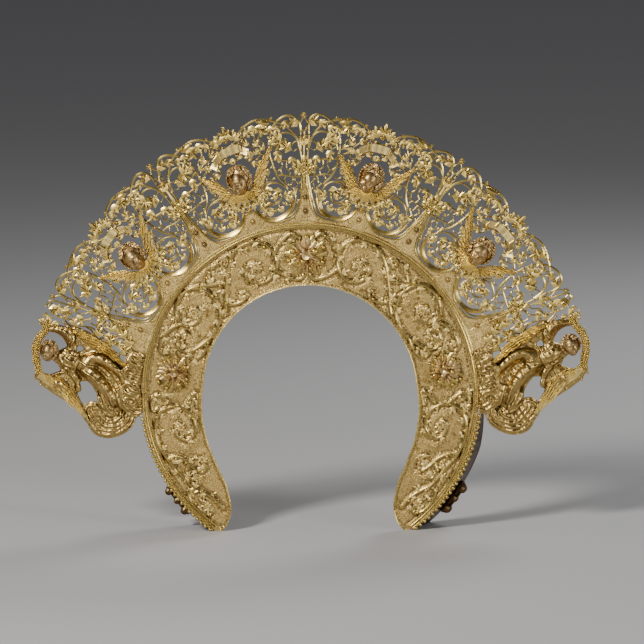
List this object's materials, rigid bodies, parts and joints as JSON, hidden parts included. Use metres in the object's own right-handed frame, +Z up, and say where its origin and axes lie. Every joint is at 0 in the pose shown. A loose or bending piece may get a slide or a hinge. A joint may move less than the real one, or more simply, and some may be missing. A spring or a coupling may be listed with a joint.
{
  "type": "filigree diadem",
  "caption": "Crescent halo diadem: an embossed horseshoe band that fits over the head, with a pierced scrollwork crest, winged heads and angels, standing on its legs.",
  "frame": {"origin": "on the surface that the diadem stands on, under the middle of its outer box", "axes": "+Z up, +X along the span of the crest to the right seen from the front, -Y towards the viewer"},
  "size_m": [0.401, 0.0368, 0.2939],
  "materials": {
    "gilt_sheet": "chased and punched silver-gilt sheet, satin with worn highlights",
    "gilt_casting": "cast and chased silver gilt, bright on the edges",
    "warm_gilt": "cast silver gilt with a warmer, coppery tone",
    "dull_gilt": "plain sheet behind the legs, dull and darkened"
  },
  "bodies": {
    "root": {"horseshoe_band": "gilt_sheet", "spandrel_plate": "gilt_sheet", "leg_beading_left": "gilt_sheet", "leg_beading_right": "gilt_sheet", "openwork_1": "gilt_casting", "openwork_2": "gilt_casting", "openwork_3": "gilt_casting", "openwork_4": "gilt_casting", "openwork_end_left": "gilt_casting", "openwork_end_right": "gilt_casting", "rosette_1": "gilt_casting", "rosette_2": "gilt_casting", "rosette_3": "gilt_casting", "rosette_4": "gilt_casting", "rosette_5": "gilt_casting", "ribbon_1": "gilt_casting", "ribbon_2": "gilt_casting", "ribbon_3": "gilt_casting", "ribbon_4": "gilt_casting", "angel_left": "gilt_casting", "angel_right": "gilt_casting", "cherub_1": "warm_gilt", "cherub_2": "warm_gilt", "cherub_3": "warm_gilt", "cherub_4": "warm_gilt", "band_flower_top": "warm_gilt", "band_flower_left": "warm_gilt", "band_flower_right": "warm_gilt", "back_flange_left": "dull_gilt", "back_flange_right": "dull_gilt", "hook_left": "dull_gilt", "hook_right": "dull_gilt"}
  },
  "joints": []
}
